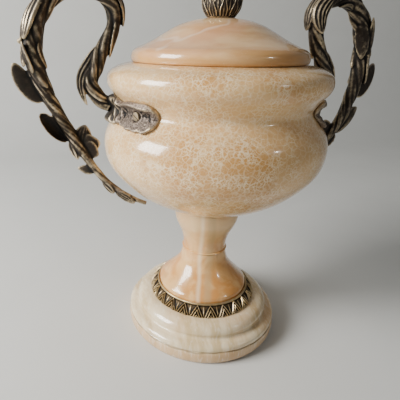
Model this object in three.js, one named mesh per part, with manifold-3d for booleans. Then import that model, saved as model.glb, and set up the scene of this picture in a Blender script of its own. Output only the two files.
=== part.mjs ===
// A covered mantel urn: turned onyx foot, stem, bowl and lid, with cast brass mounts.
// Millimetres, +Z up. The origin is on the table, at the middle of the foot.
// The two handles stand out along -X and +X. Nothing moves: the lid only rests in the mouth.

import * as THREE from 'three';
import { mergeVertices } from 'three/addons/utils/BufferGeometryUtils.js';
import Module from 'manifold-3d';

const wasm = await Module();
wasm.setup();

// ---------------------------------------------------------------- driving dimensions

const SEAT = 0.3;            // clearance left where one piece rests on another
const TURNED_SIDES = 26;     // sides of the large turned pieces
const SLIM_SIDES = 24;       // sides of the slimmer turned pieces

// Foot: a straight band, a lower torus, a soft hollow and an upper torus.
const SOLE_RADIUS = 103.4;
const BAND_RADIUS = 106.8;
const BAND_HEIGHT = 18.5;
const HOLLOW_RADIUS = 92.6;
const HOLLOW_HEIGHT = 34;
const FOOT_TOP_RADIUS = 75.5;
const FOOT_HEIGHT = 49.2;

// Stem: bell, slim waist with a bead, and a cup under the bowl.
const BELL_RADIUS = 61.6;
const BELL_HEIGHT = 68;
const WAIST_RADIUS = 29.6;
const WAIST_HEIGHT = 124;
const CUP_RADIUS = 44;
const STEM_TOP = 184;

// Bowl.
const BOWL_BOTTOM = STEM_TOP + SEAT;
const BELLY_RADIUS = 136;
const BELLY_HEIGHT = 272;
const NECK_RADIUS = 114.8;
const NECK_HEIGHT = 314;
const RIM_RADIUS = 131;
const RIM_HEIGHT = 345;
const LAND_RADIUS = 101.2;   // outer edge of the flat land that the lid rests on
const MOUTH_RADIUS = 92;
const BOWL_TOP = 364;
const BOWL_WALL = 12;

// Lid.
const LID_BOTTOM = BOWL_TOP + SEAT;
const LID_RADIUS = 102.4;
const LID_TOP = 411;
const LID_WALL = 10;
const REGISTER_RADIUS = MOUTH_RADIUS - 0.8;
const REGISTER_DEPTH = 8;
const REGISTER_WIDTH = 11;

// Finial: a bud of upright leaves.
const FINIAL_BASE_RADIUS = 15.5;
const FINIAL_RADIUS = 22;
const FINIAL_HEIGHT = 52;
const FINIAL_LEAVES = 10;
const FINIAL_GROOVE = 0.07;  // depth of the grooves between leaves, as a share of the radius

// Leaf ring round the bottom of the bell.
const RING_BOTTOM_RADIUS = 74.6;
const RING_HEIGHT = 15;
const RING_LEAVES = 24;
const RING_RELIEF = 1.6;     // height of the spine of a leaf
const RING_SMALL_RIB = 0.5;  // height of the rib between two leaves
const RING_VALLEY = -0.4;

// Handle: one casting of a twisted vine with leaves and two wings that wrap the neck.
const LEFT_TURN = 0;         // degrees round the urn from -X
const RIGHT_TURN = 184;      // the right one is fitted a little off the straight line
const VINE_SIDES = 8;
const VINE_STEPS = 25;
const VINE_TURNS = 2.6;
const STRANDS = 4;
const STRAND_DEPTH = 0.14;
const WING_REACH = 43;       // degrees round the neck on each side
const WING_HALF_HEIGHT = 15;
const WING_THICKNESS = 6;
const BOSS_THICKNESS = 13;   // thickness of the wings where the vine springs
const WING_GAP = 0.7;
const WING_HEIGHT = 313;
const WING_TIP = 0.14;       // share of each wing that its round end takes
const BLUNT_TIP = 0.35;      // height left at the very end of a wing, as a share of the whole
const BOSS_SPREAD = 0.2;     // share of the band that the swelling takes

// Screws that hold the wings.
const SCREW_ANGLE = 29;      // degrees from the plane of the handle
const HEAD_RADIUS = 4.8;
const HEAD_HEIGHT = 2.6;
const SHANK_RADIUS = 2.4;
const SHANK_LENGTH = 12;
const SLOT_WIDTH = 1.4;
const SLOT_DEPTH = 1.2;
const SLOT_TURN = 25;        // degrees that the slot stands off upright
const HOLE_GAP = 0.35;
const SINK_DEPTH = 2;        // depth of the recess that takes the head

// ---------------------------------------------------------------- materials

const onyx = (color) => new THREE.MeshStandardMaterial({ color, roughness: 0.18, metalness: 0 });
const bowlOnyx = onyx(0xd8b48c);
const lidOnyx = onyx(0xd9b596);
const stemOnyx = onyx(0xd9ab78);
const footOnyx = onyx(0xd8cdb2);
const darkBrass = new THREE.MeshStandardMaterial({ color: 0x4a4030, roughness: 0.4, metalness: 1 });
const paleBrass = new THREE.MeshStandardMaterial({ color: 0x8c7650, roughness: 0.38, metalness: 1 });

// ---------------------------------------------------------------- solids and booleans

// Closed body for a boolean: shared vertices are merged, only positions are kept.
function toManifold(geometry) {
  const bare = geometry.clone();
  bare.deleteAttribute('normal');
  bare.deleteAttribute('uv');
  const merged = mergeVertices(bare, 1e-4);
  return new wasm.Manifold(new wasm.Mesh({
    numProp: 3,
    vertProperties: new Float32Array(merged.attributes.position.array),
    triVerts: new Uint32Array(merged.index.array),
  }));
}

function toGeometry(manifold) {
  const mesh = manifold.getMesh();
  const geometry = new THREE.BufferGeometry();
  geometry.setAttribute('position', new THREE.BufferAttribute(mesh.vertProperties, 3));
  geometry.setIndex(new THREE.BufferAttribute(mesh.triVerts, 1));
  return geometry;
}

function joined(geometries) {
  return geometries.map(toManifold).reduce((whole, piece) => whole.add(piece));
}

// A casting has no sealed pockets where leaves cross, so only its outer skin is kept.
function outerSkin(solid) {
  return solid.decompose().reduce((kept, skin) => (skin.volume() > kept.volume() ? skin : kept));
}

// Moves each vertex of a geometry to the point that place(vertex) returns.
function reshape(geometry, place) {
  const position = geometry.attributes.position;
  const vertex = new THREE.Vector3();
  for (let i = 0; i < position.count; i += 1) {
    const moved = place(vertex.fromBufferAttribute(position, i));
    position.setXYZ(i, moved.x, moved.y, moved.z);
  }
  return geometry;
}

// ---------------------------------------------------------------- turned outlines

const point = (radius, height) => new THREE.Vector2(radius, height);

function smooth(points, divisions) {
  return new THREE.SplineCurve(points).getPoints(divisions);
}

// Revolves an outline of (radius, height) points round Z.
function turned(outline, sides) {
  const geometry = new THREE.LatheGeometry(outline, sides);
  return geometry.rotateX(Math.PI / 2);
}

// ---------------------------------------------------------------- foot

function footOutline() {
  const band = [
    point(0, 0),
    point(SOLE_RADIUS, 0),
    point(BAND_RADIUS, BAND_HEIGHT * 0.55),
    point(BAND_RADIUS - 0.6, BAND_HEIGHT),
    point(BAND_RADIUS - 1.8, BAND_HEIGHT + 0.8),
  ];
  const tori = smooth([
    point(BAND_RADIUS - 0.8, BAND_HEIGHT + 2.4),
    point(BAND_RADIUS - 1.8, BAND_HEIGHT + 7.5),
    point(BAND_RADIUS - 6.4, HOLLOW_HEIGHT - 4.6),
    point(HOLLOW_RADIUS + 2.6, HOLLOW_HEIGHT - 3.2),
    point(HOLLOW_RADIUS, HOLLOW_HEIGHT),
    point(HOLLOW_RADIUS + 0.8, HOLLOW_HEIGHT + 4.4),
    point(HOLLOW_RADIUS - 4, FOOT_HEIGHT - 3.6),
    point(FOOT_TOP_RADIUS + 5, FOOT_HEIGHT - 0.4),
    point(FOOT_TOP_RADIUS, FOOT_HEIGHT),
  ], 10);
  return [...band, ...tori, point(0, FOOT_HEIGHT)];
}

// ---------------------------------------------------------------- leaf ring

// A collar of pointed leaves. Every other rib is lower, and each leaf has a raised spine.
function leafRing() {
  const inner = BELL_RADIUS + 0.8;
  const bottom = FOOT_HEIGHT + SEAT;
  const top = bottom + RING_HEIGHT;
  const outline = [
    point(inner, bottom),
    point(RING_BOTTOM_RADIUS, bottom),
    point(RING_BOTTOM_RADIUS - 3, bottom + RING_HEIGHT * 0.5),
    point(inner + 0.2, top),
    point(inner, bottom),
  ];
  const stepsPerLeaf = 4;
  const ribs = [RING_RELIEF, RING_VALLEY, RING_SMALL_RIB, RING_VALLEY];
  const geometry = turned(outline, RING_LEAVES * stepsPerLeaf);
  return reshape(geometry, (p) => {
    const radius = Math.hypot(p.x, p.y);
    const angle = Math.atan2(p.y, p.x);
    const step = Math.round((angle / (2 * Math.PI)) * RING_LEAVES * stepsPerLeaf);
    const rib = ribs[((step % stepsPerLeaf) + stepsPerLeaf) % stepsPerLeaf];
    const onLeaf = radius > inner + 0.1 && p.z > bottom + 0.1 && p.z < top - 0.1;
    const scale = onLeaf ? (radius + rib) / radius : 1;
    return new THREE.Vector3(p.x * scale, p.y * scale, p.z);
  });
}

// ---------------------------------------------------------------- stem

function stemOutline() {
  const bottom = FOOT_HEIGHT + SEAT;
  const bell = smooth([
    point(BELL_RADIUS - 0.6, bottom + 8),
    point(BELL_RADIUS, BELL_HEIGHT),
    point(BELL_RADIUS - 9, BELL_HEIGHT + 11),
    point(WAIST_RADIUS + 11, BELL_HEIGHT + 23),
    point(WAIST_RADIUS + 2.6, WAIST_HEIGHT - 18),
    point(WAIST_RADIUS + 0.2, WAIST_HEIGHT - 6),
  ], 6);
  const bead = [
    point(WAIST_RADIUS + 1.4, WAIST_HEIGHT - 4.6),
    point(WAIST_RADIUS + 0.2, WAIST_HEIGHT - 3),
  ];
  const cup = smooth([
    point(WAIST_RADIUS, WAIST_HEIGHT + 2),
    point(WAIST_RADIUS + 3, WAIST_HEIGHT + 16),
    point(WAIST_RADIUS + 9.5, WAIST_HEIGHT + 32),
    point(CUP_RADIUS - 1.4, WAIST_HEIGHT + 42),
    point(CUP_RADIUS, STEM_TOP - 6),
    point(CUP_RADIUS - 1, STEM_TOP),
  ], 5);
  return [point(0, bottom), point(BELL_RADIUS - 0.6, bottom), ...bell, ...bead, ...cup, point(0, STEM_TOP)];
}

// ---------------------------------------------------------------- bowl

// Outer face of the bowl from its flat bottom to the land under the lid.
const bowlFace = smooth([
  point(CUP_RADIUS + 1, BOWL_BOTTOM),
  point(75, BOWL_BOTTOM + 12.5),
  point(100, BOWL_BOTTOM + 28),
  point(121, BOWL_BOTTOM + 48.5),
  point(132.6, BELLY_HEIGHT - 21),
  point(BELLY_RADIUS, BELLY_HEIGHT),
  point(132, BELLY_HEIGHT + 17),
  point(122, BELLY_HEIGHT + 31),
  point(NECK_RADIUS, NECK_HEIGHT),
  point(119.5, NECK_HEIGHT + 11),
  point(RIM_RADIUS - 2.6, RIM_HEIGHT - 9),
  point(RIM_RADIUS, RIM_HEIGHT),
  point(RIM_RADIUS - 3.2, RIM_HEIGHT + 9),
  point(116, BOWL_TOP - 3.4),
  point(LAND_RADIUS, BOWL_TOP),
], 17);

// Radius of the outer face of the neck at a height between belly and rim.
function neckRadius(height) {
  const above = bowlFace.findIndex((p) => p.y >= height);
  const low = bowlFace[above - 1];
  const high = bowlFace[above];
  const share = (height - low.y) / (high.y - low.y);
  return low.x + share * (high.x - low.x);
}

function bowlOutline() {
  const hollow = smooth([
    point(MOUTH_RADIUS, BOWL_TOP - 13),
    point(NECK_RADIUS - BOWL_WALL, NECK_HEIGHT + 10),
    point(NECK_RADIUS - BOWL_WALL + 2, NECK_HEIGHT - 8),
    point(BELLY_RADIUS - BOWL_WALL, BELLY_HEIGHT),
    point(121 - BOWL_WALL * 0.5, BELLY_HEIGHT - 28),
    point(90, BOWL_BOTTOM + 36),
    point(50, BOWL_BOTTOM + 20),
    point(0, BOWL_BOTTOM + 15),
  ], 8);
  return [point(0, BOWL_BOTTOM), ...bowlFace, point(MOUTH_RADIUS, BOWL_TOP), ...hollow];
}

// ---------------------------------------------------------------- lid

function lidOutline() {
  const dome = smooth([
    point(LAND_RADIUS, LID_BOTTOM),
    point(LID_RADIUS, LID_BOTTOM + 4),
    point(LID_RADIUS - 1.5, LID_BOTTOM + 11.2),
    point(LID_RADIUS - 6, LID_BOTTOM + 15),
    point(86, LID_BOTTOM + 19.2),
    point(62, LID_BOTTOM + 32),
    point(40, LID_BOTTOM + 42.5),
    point(18, LID_TOP),
  ], 9);
  const registerInner = REGISTER_RADIUS - REGISTER_WIDTH;
  const hollow = smooth([
    point(registerInner, LID_BOTTOM + 4),
    point(62, LID_BOTTOM + 32.5 - LID_WALL * 1.2),
    point(40, LID_BOTTOM + 42.5 - LID_WALL),
    point(0, LID_TOP - LID_WALL),
  ], 4).reverse();
  return [
    ...hollow,
    point(registerInner, LID_BOTTOM - REGISTER_DEPTH),
    point(REGISTER_RADIUS, LID_BOTTOM - REGISTER_DEPTH),
    point(REGISTER_RADIUS, LID_BOTTOM),
    ...dome,
    point(0, LID_TOP),
  ];
}

// ---------------------------------------------------------------- finial

// A bud of overlapping upright leaves: each rib of the turned bud is the spine of a leaf.
function finial() {
  const bottom = LID_TOP + SEAT;
  const outline = [
    point(0, bottom),
    point(FINIAL_BASE_RADIUS, bottom),
    ...smooth([
      point(FINIAL_BASE_RADIUS + 1.5, bottom + 3),
      point(FINIAL_RADIUS, bottom + 13),
      point(FINIAL_RADIUS - 1, bottom + 24),
      point(FINIAL_RADIUS - 6, bottom + 36),
      point(FINIAL_RADIUS - 15, bottom + 47),
      point(0, bottom + FINIAL_HEIGHT),
    ], 8),
  ];
  const sides = FINIAL_LEAVES * 2;
  return reshape(turned(outline, sides), (p) => {
    const side = Math.round((Math.atan2(p.y, p.x) / (2 * Math.PI)) * sides);
    const ribbed = p.z > bottom + 1 && Math.abs(side % 2) === 1;
    const scale = ribbed ? 1 - FINIAL_GROOVE : 1;
    return new THREE.Vector3(p.x * scale, p.y * scale, p.z);
  });
}

// ---------------------------------------------------------------- handle

// Middle line of the vine of the -X handle: (reach from the axis, step to the front, height).
// It leaves the neck, climbs past the rim, arches over and comes down to the bottom of the bowl.
const vine = new THREE.CatmullRomCurve3([
  [128, 0, 317], [139.8, -0.4, 324], [148.8, -1.8, 342], [142.5, -3.5, 360], [133.3, -5.2, 379],
  [122.3, -8.2, 400], [120.3, -7.7, 420], [133.2, -4.6, 434], [156.2, 0.4, 438], [182.2, 6.1, 428],
  [200.7, 9.7, 407], [207.9, 8.3, 380], [204.4, 3, 349], [192.9, -4.2, 317], [179.8, -8.6, 291],
  [160.7, -4.4, 257], [139.2, 6.1, 228], [119.5, 15.1, 213], [101.3, 20.3, 203.5], [88.4, 22, 198.5],
].map(([reach, step, height]) => new THREE.Vector3(-reach, -step, height)));

// Radius of the vine at a share of its length from the neck to the tip of the tail.
const vineThickness = new THREE.SplineCurve([
  point(0, 9), point(0.06, 9.5), point(0.14, 9), point(0.21, 8.2), point(0.28, 11), point(0.38, 9.5),
  point(0.46, 10.6), point(0.58, 9), point(0.7, 7.2), point(0.84, 4.8), point(1, 2.6),
]);

function vineRadius(share) {
  const samples = vineThickness.getPoints(80);
  const after = Math.max(1, samples.findIndex((p) => p.x >= share));
  return samples[after].y;
}

// Frame of the vine at a share of its length: outward lies in the plane of the loop.
function vineFrame(share) {
  const place = vine.getPointAt(share);
  const along = vine.getTangentAt(share);
  const across = new THREE.Vector3(0, -1, 0);
  const outward = new THREE.Vector3().crossVectors(along, across).normalize();
  const front = new THREE.Vector3().crossVectors(outward, along).normalize();
  return { place, along, outward, front };
}

// The twisted stems of the vine, as one lobed bar.
function twistedVine() {
  const bar = new THREE.CylinderGeometry(1, 1, 1, VINE_SIDES, VINE_STEPS);
  return reshape(bar, (p) => {
    const share = p.y + 0.5;
    const { place, along, outward, front } = vineFrame(share);
    const angle = Math.atan2(p.z, p.x);
    const flat = Math.hypot(p.x, p.z);
    const lobe = 1 + STRAND_DEPTH * Math.cos(STRANDS * angle);
    const radius = vineRadius(share) * lobe * flat;
    const twist = angle + VINE_TURNS * 2 * Math.PI * share;
    return place.clone()
      .addScaledVector(outward, radius * Math.cos(twist))
      .addScaledVector(front, radius * Math.sin(twist));
  });
}

// Leaves of the casting. at: share of the vine where the leaf springs. heading: 1 towards the
// tail, -1 towards the neck. turn: degrees round the vine, 0 away from the loop, 90 to the front
// and 180 into the loop. wind: how much that changes towards the tip. peel: how far the tip
// stands off the vine, and lift: 1.5 where it curls away late, below 1 where it springs at once.
// roll: 0 where the leaf lies flat on the vine, 90 where it stands edge-on to it.
const LATE = 1.5;
const EARLY = 0.6;
const LEAVES = [
  { at: 0.15, heading: -1, turn: 160, wind: 15, length: 56, width: 14, peel: 8.5, roll: 50 },
  { at: 0.305, heading: -1, turn: 35, wind: -15, length: 46, width: 24, peel: 5, roll: 25 },
  { at: 0.29, heading: -1, turn: -80, wind: -10, length: 44, width: 24, peel: 4.5, roll: 0 },
  { at: 0.34, heading: 1, turn: 60, wind: -30, length: 44, width: 22, peel: 4, roll: 0 },
  { at: 0.385, heading: -1, turn: -150, wind: 0, length: 32, width: 14, peel: 5, roll: 20 },
  { at: 0.4, heading: 1, turn: 0, wind: 50, length: 50, width: 25, peel: 4, roll: 0 },
  { at: 0.44, heading: 1, turn: -130, wind: 0, length: 50, width: 18, peel: 3, roll: 0 },
  { at: 0.5, heading: 1, turn: 10, wind: 10, length: 26, width: 15, peel: 6, roll: 20 },
  { at: 0.575, heading: -1, turn: 45, wind: 0, length: 34, width: 13, peel: 6, roll: 25 },
  { at: 0.52, heading: 1, turn: -40, wind: 10, length: 40, width: 18, peel: 5, roll: 10 },
  { at: 0.635, heading: -1, turn: 0, wind: 0, length: 44, width: 21, peel: 15, roll: 88, lift: EARLY },
  { at: 0.745, heading: -1, turn: 5, wind: 0, length: 43, width: 20, peel: 11.5, roll: 78, lift: EARLY },
  { at: 0.775, heading: -1, turn: 178, wind: 0, length: 21, width: 23, peel: 15, roll: 86 },
  { at: 0.765, heading: 1, turn: 178, wind: 0, length: 13, width: 25, peel: 20, roll: 86 },
  { at: 0.765, heading: 1, turn: 176, wind: 0, length: 25, width: 22, peel: 10, roll: 85 },
  { at: 0.745, heading: 1, turn: 10, wind: 0, length: 25, width: 13, peel: 6, roll: 60 },
  { at: 0.845, heading: -1, turn: 0, wind: 0, length: 16, width: 12, peel: 13, roll: 84 },
  { at: 0.915, heading: 1, turn: 15, wind: 20, length: 28, width: 14, peel: 2.5, roll: 40 },
];
const LEAF_THICKNESS = 6;
const LEAF_SIDES = 4;
const LEAF_ROWS = 5;          // a short leaf has one row less
const SHORT_LEAF = 30;
const vineLength = vine.getLength();

// A pointed leaf with a raised spine that follows the vine and peels away towards its tip.
function leaf({ at, heading, turn, wind, length, width, peel, roll, lift = LATE }) {
  const rows = length > SHORT_LEAF ? LEAF_ROWS : LEAF_ROWS - 1;
  const ball = new THREE.SphereGeometry(1, LEAF_SIDES, rows);
  const rolled = THREE.MathUtils.degToRad(roll);
  return reshape(ball, (p) => {
    const run = (1 - p.y) / 2;
    const share = THREE.MathUtils.clamp(at + (heading * run * length) / vineLength, 0, 1);
    const { place, along, outward, front } = vineFrame(share);
    const round = THREE.MathUtils.degToRad(turn + wind * run);
    const away = outward.multiplyScalar(Math.cos(round)).addScaledVector(front, Math.sin(round));
    const steepness = lift * peel * Math.max(run, 0.1) ** (lift - 1);
    const down = along.clone().multiplyScalar(heading * length).addScaledVector(away, steepness).normalize();
    const side = new THREE.Vector3().crossVectors(down, away).normalize();
    const top = new THREE.Vector3().crossVectors(side, down);
    const across = side.clone().multiplyScalar(Math.cos(rolled)).addScaledVector(top, Math.sin(rolled));
    const face = new THREE.Vector3().crossVectors(across, down);
    const ring = Math.max(Math.hypot(p.x, p.z), 1e-6);
    const spread = 0.5 * Math.sin(Math.PI * run ** 0.85) ** 0.6;
    return place
      .addScaledVector(away, vineRadius(share) * 0.8 + peel * run ** lift)
      .addScaledVector(face, (p.z / ring) * spread * LEAF_THICKNESS)
      .addScaledVector(across, -(p.x / ring) * spread * width);
  });
}

// The band of the two wings. It follows the neck, swells where the vine springs and ends in
// round tips. Its outer face is slightly hollow between two soft edges.
function wings() {
  const band = new THREE.BoxGeometry(2, 1, 2, 12, 1, 2);
  const reach = THREE.MathUtils.degToRad(WING_REACH);
  return reshape(band, (p) => {
    const run = p.x * (1.5 - 0.5 * p.x ** 2);
    const past = Math.max(0, (Math.abs(run) - 1 + WING_TIP) / WING_TIP);
    const tall = WING_HALF_HEIGHT * Math.max(BLUNT_TIP, Math.sqrt(1 - past ** 2));
    const height = WING_HEIGHT + p.z * tall;
    const boss = Math.exp(-((run / BOSS_SPREAD) ** 2));
    const swell = WING_THICKNESS + (BOSS_THICKNESS - WING_THICKNESS) * boss;
    const radius = neckRadius(height) + WING_GAP + (0.5 - p.y) * swell;
    const angle = run * reach;
    return new THREE.Vector3(-radius * Math.cos(angle), -radius * Math.sin(angle), height);
  });
}

// A cylinder on the axis of one screw. Its outer end is at the given radius from the urn's axis.
function screwBar(radius, length, outerEnd, angle, sides) {
  const bar = new THREE.CylinderGeometry(radius, radius, length, sides);
  const turn = THREE.MathUtils.degToRad(angle);
  bar.rotateZ(Math.PI / 2);
  bar.translate(-(outerEnd - length / 2), 0, WING_HEIGHT);
  return bar.rotateZ(turn);
}

const HEAD_SIDES = 8;
const SHANK_SIDES = 6;
const wingFace = neckRadius(WING_HEIGHT) + WING_GAP + WING_THICKNESS;
const headTop = wingFace - SINK_DEPTH + SEAT + HEAD_HEIGHT;
const shankTip = headTop - HEAD_HEIGHT - SHANK_LENGTH;

function screwHoles(angle) {
  const bore = screwBar(SHANK_RADIUS + HOLE_GAP, 40, shankTip - HOLE_GAP + 40, angle, SHANK_SIDES);
  const sink = screwBar(HEAD_RADIUS + HOLE_GAP, 20, wingFace - SINK_DEPTH + 20, angle, HEAD_SIDES);
  return { bore: toManifold(bore), sink: toManifold(sink) };
}

function screw(angle) {
  const head = screwBar(HEAD_RADIUS, HEAD_HEIGHT, headTop, angle, HEAD_SIDES);
  const shank = screwBar(SHANK_RADIUS, SHANK_LENGTH + 0.5, headTop - HEAD_HEIGHT + 0.5, angle, SHANK_SIDES);
  const slot = new THREE.BoxGeometry(SLOT_DEPTH * 2, SLOT_WIDTH, HEAD_RADIUS * 3);
  slot.rotateX(THREE.MathUtils.degToRad(SLOT_TURN));
  slot.translate(-headTop, 0, WING_HEIGHT);
  slot.rotateZ(THREE.MathUtils.degToRad(angle));
  return toGeometry(joined([head, shank]).subtract(toManifold(slot)));
}

function handle() {
  let casting = outerSkin(joined([wings(), twistedVine(), ...LEAVES.map(leaf)]));
  [SCREW_ANGLE, -SCREW_ANGLE].forEach((angle) => {
    const holes = screwHoles(angle);
    casting = casting.subtract(holes.bore).subtract(holes.sink);
  });
  return toGeometry(casting);
}

// The bowl, drilled for the screws of both handles.
function bowl() {
  let stone = toManifold(turned(bowlOutline(), TURNED_SIDES));
  [LEFT_TURN, RIGHT_TURN].forEach((turn) => {
    stone = stone.subtract(screwHoles(turn + SCREW_ANGLE).bore);
    stone = stone.subtract(screwHoles(turn - SCREW_ANGLE).bore);
  });
  return toGeometry(stone);
}

// ---------------------------------------------------------------- the urn

const urn = new THREE.Group();

function add(name, geometry, material, parent = urn) {
  const mesh = new THREE.Mesh(geometry, material);
  mesh.name = name;
  parent.add(mesh);
  return mesh;
}

add('foot', turned(footOutline(), TURNED_SIDES), footOnyx);
add('leaf_ring', leafRing(), paleBrass);
add('stem', turned(stemOutline(), SLIM_SIDES), stemOnyx);
add('bowl', bowl(), bowlOnyx);
add('lid', turned(lidOutline(), TURNED_SIDES), lidOnyx);
add('finial', finial(), paleBrass);

// Both handles are the same casting, so the wing that is in front on the left is behind on the right.
[['left', LEFT_TURN, ['front', 'back']], ['right', RIGHT_TURN, ['back', 'front']]]
  .forEach(([side, turn, [first, second]]) => {
    const mount = new THREE.Group();
    mount.rotation.z = THREE.MathUtils.degToRad(turn);
    urn.add(mount);
    add(`handle_${side}`, handle(), darkBrass, mount);
    add(`screw_${side}_${first}`, screw(SCREW_ANGLE), paleBrass, mount);
    add(`screw_${side}_${second}`, screw(-SCREW_ANGLE), paleBrass, mount);
  });

export default urn;
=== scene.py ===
# %% [markdown]
# # A covered mantel urn
# The real object is four turned pieces of onyx, four castings of brass and four screws. A lathe
# shapes the stone, and the brass is poured in moulds, darkened, and rubbed bright again on its
# ridges. The lesson follows the same order: the stone is revolved from its outlines, the castings
# are modelled leaf by leaf, and each finish is a small procedural material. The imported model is
# the fixed frame that everything is fitted to, so it is loaded first.

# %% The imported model
import math

import bpy
import numpy as np
from mathutils import Matrix, Vector


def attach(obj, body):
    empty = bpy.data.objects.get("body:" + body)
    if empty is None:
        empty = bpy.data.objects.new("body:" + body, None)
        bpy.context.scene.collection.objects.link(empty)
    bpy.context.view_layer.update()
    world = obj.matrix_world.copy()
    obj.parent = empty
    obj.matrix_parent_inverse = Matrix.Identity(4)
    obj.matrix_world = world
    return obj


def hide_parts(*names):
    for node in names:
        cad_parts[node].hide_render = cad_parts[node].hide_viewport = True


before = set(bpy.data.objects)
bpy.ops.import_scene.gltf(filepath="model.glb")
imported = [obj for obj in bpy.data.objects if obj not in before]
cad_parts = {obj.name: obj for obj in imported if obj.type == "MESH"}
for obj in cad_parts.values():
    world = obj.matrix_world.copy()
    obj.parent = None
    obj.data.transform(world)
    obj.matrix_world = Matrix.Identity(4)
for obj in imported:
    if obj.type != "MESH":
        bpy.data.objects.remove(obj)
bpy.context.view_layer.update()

MM = 0.001
BODY = "root"

# %% [markdown]
# ## The view
# The urn is seen from the left, from a little above the middle of its lid, with a short lens. The
# camera comes first. It stands in the frame's own metres. It could be aimed with a tracking
# constraint, but a heading, a pitch and a small roll say exactly how it was held.

# %% Camera
EYE = Vector((-0.1642, -0.4511, 0.3841))
HEADING, PITCH, ROLL = 11.26, 22.6, 0.82
SENSOR = 36.0
LENS = 33.93
SHIFT = 0.1155

lens = bpy.data.cameras.new("camera")
lens.sensor_width = SENSOR
lens.lens = LENS
lens.shift_x = SHIFT
camera = bpy.data.objects.new("camera", lens)
bpy.context.scene.collection.objects.link(camera)
turn = Matrix.Rotation(math.radians(-HEADING), 4, "Z")
nod = Matrix.Rotation(math.radians(90 - PITCH), 4, "X")
tilt = Matrix.Rotation(math.radians(ROLL), 4, "Z")
camera.matrix_world = Matrix.Translation(EYE) @ turn @ nod @ tilt
bpy.context.scene.camera = camera
print("camera at", tuple(round(c, 3) for c in EYE))

# %% [markdown]
# ## Meshes from arrays
# Every piece is worked out as arrays of points in millimetres, like a drawing, and becomes metres
# only when its mesh is made. One helper makes the mesh, shades it smooth with crisp edges where
# the faces meet steeply, says which body it rides on and which finish it takes, and hides the
# imported solid that it stands for.


# %% Making a piece
STONE_CREASE, CAST_CREASE, SCREW_CREASE = 38, 60, 30


def piece(name, points, faces, node, slot, crease):
    mesh = bpy.data.meshes.new(name)
    mesh.from_pydata((np.asarray(points) * MM).tolist(), [], faces)
    return piece_of(name, mesh, node, slot, crease)


def piece_of(name, mesh, node, slot, crease):
    mesh.validate()
    mesh.shade_smooth()
    mesh.set_sharp_from_angle(angle=math.radians(crease))
    mesh.materials.clear()
    mesh.materials.append(FINISHES[slot])
    made = bpy.data.objects.new(name, mesh)
    bpy.context.scene.collection.objects.link(made)
    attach(made, BODY)
    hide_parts(node)
    triangles = sum(len(p.vertices) - 2 for p in mesh.polygons)
    print(name, "triangles:", triangles)
    return made


# %% [markdown]
# ## Smooth outlines
# A turner works to a profile: a few radii at a few heights, joined by a fair curve. The
# Catmull-Rom spline does the same, because it passes through each point that it is given.


# %% Curves through points
def spline(points, steps):
    knots = np.asarray(points, float)
    spans = len(knots) - 1
    place = np.linspace(0, spans, steps + 1)
    first = np.minimum(place.astype(int), spans - 1)
    t = (place - first)[:, None]
    a = knots[np.maximum(first - 1, 0)]
    b = knots[first]
    c = knots[first + 1]
    d = knots[np.minimum(first + 2, spans)]
    cubic = (2 * b - 2 * c + (c - a) / 2 + (d - b) / 2) * t**3
    square = (3 * c - 3 * b - (c - a) - (d - b) / 2) * t**2
    return cubic + square + (c - a) / 2 * t + b


def smooth_step(low, high, value):
    share = np.clip((value - low) / (high - low), 0, 1)
    return share * share * (3 - 2 * share)


# %% [markdown]
# ## Revolving an outline
# A lathe piece is its outline carried round the axis. A Screw modifier could do it, but rings of
# points are as short to write, and they let a piece end in a clean fan at the axis, so the mesh
# is closed with no doubled points.


# %% Turning
def turned(outline, sides):
    angles = np.arange(sides) * 2 * math.pi / sides
    rings = []
    points = []
    for radius, height in outline:
        if radius < 1e-6:
            rings.append([len(points)] * sides)
            points.append((0, 0, height))
            continue
        rings.append(range(len(points), len(points) + sides))
        points += [(radius * math.cos(a), radius * math.sin(a), height) for a in angles]
    faces = []
    for low, high in zip(rings, rings[1:]):
        for i in range(sides):
            j = (i + 1) % sides
            face = [low[i], low[j], high[j], high[i]]
            faces.append(list(dict.fromkeys(face)))
    return points, faces


# %% [markdown]
# ## Shader maths
# A finish is a formula: a noise, some arithmetic, a mix of two colours. Written as nodes by hand,
# such a formula is long, so one small class wraps a socket and turns the usual operators into
# Math nodes. Colours are mixed by Mix nodes, because a Math node would turn them grey.


# %% A socket that can be reckoned with
class Signal:
    def __init__(self, tree, socket):
        self.tree = tree
        self.socket = socket

    def math(self, operation, *others, clamp=False):
        settings = {"operation": operation, "use_clamp": clamp}
        return self.tree.node("ShaderNodeMath", settings, dict(enumerate((self,) + others)))[0]

    def __add__(self, other):
        return self.math("ADD", other)

    def __radd__(self, other):
        return self.math("ADD", other)

    def __sub__(self, other):
        return self.math("SUBTRACT", other)

    def __rsub__(self, other):
        return self.tree.node("ShaderNodeMath", {"operation": "SUBTRACT"}, {0: other, 1: self})[0]

    def __mul__(self, other):
        return self.math("MULTIPLY", other)

    def __rmul__(self, other):
        return self.math("MULTIPLY", other)

    def clamped(self):
        return self.math("ADD", 0.0, clamp=True)

    def ramp(self, low, high):
        """0 below low, 1 above high, and a soft step between."""
        settings = {"interpolation_type": "SMOOTHSTEP"}
        return self.tree.node("ShaderNodeMapRange", settings, {"Value": self, 1: low, 2: high})[0]


# %% [markdown]
# The other class holds a material's node tree. Its one method makes any node: the type comes
# first, then the settings that decide which sockets the node has, then what goes into them.


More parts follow.
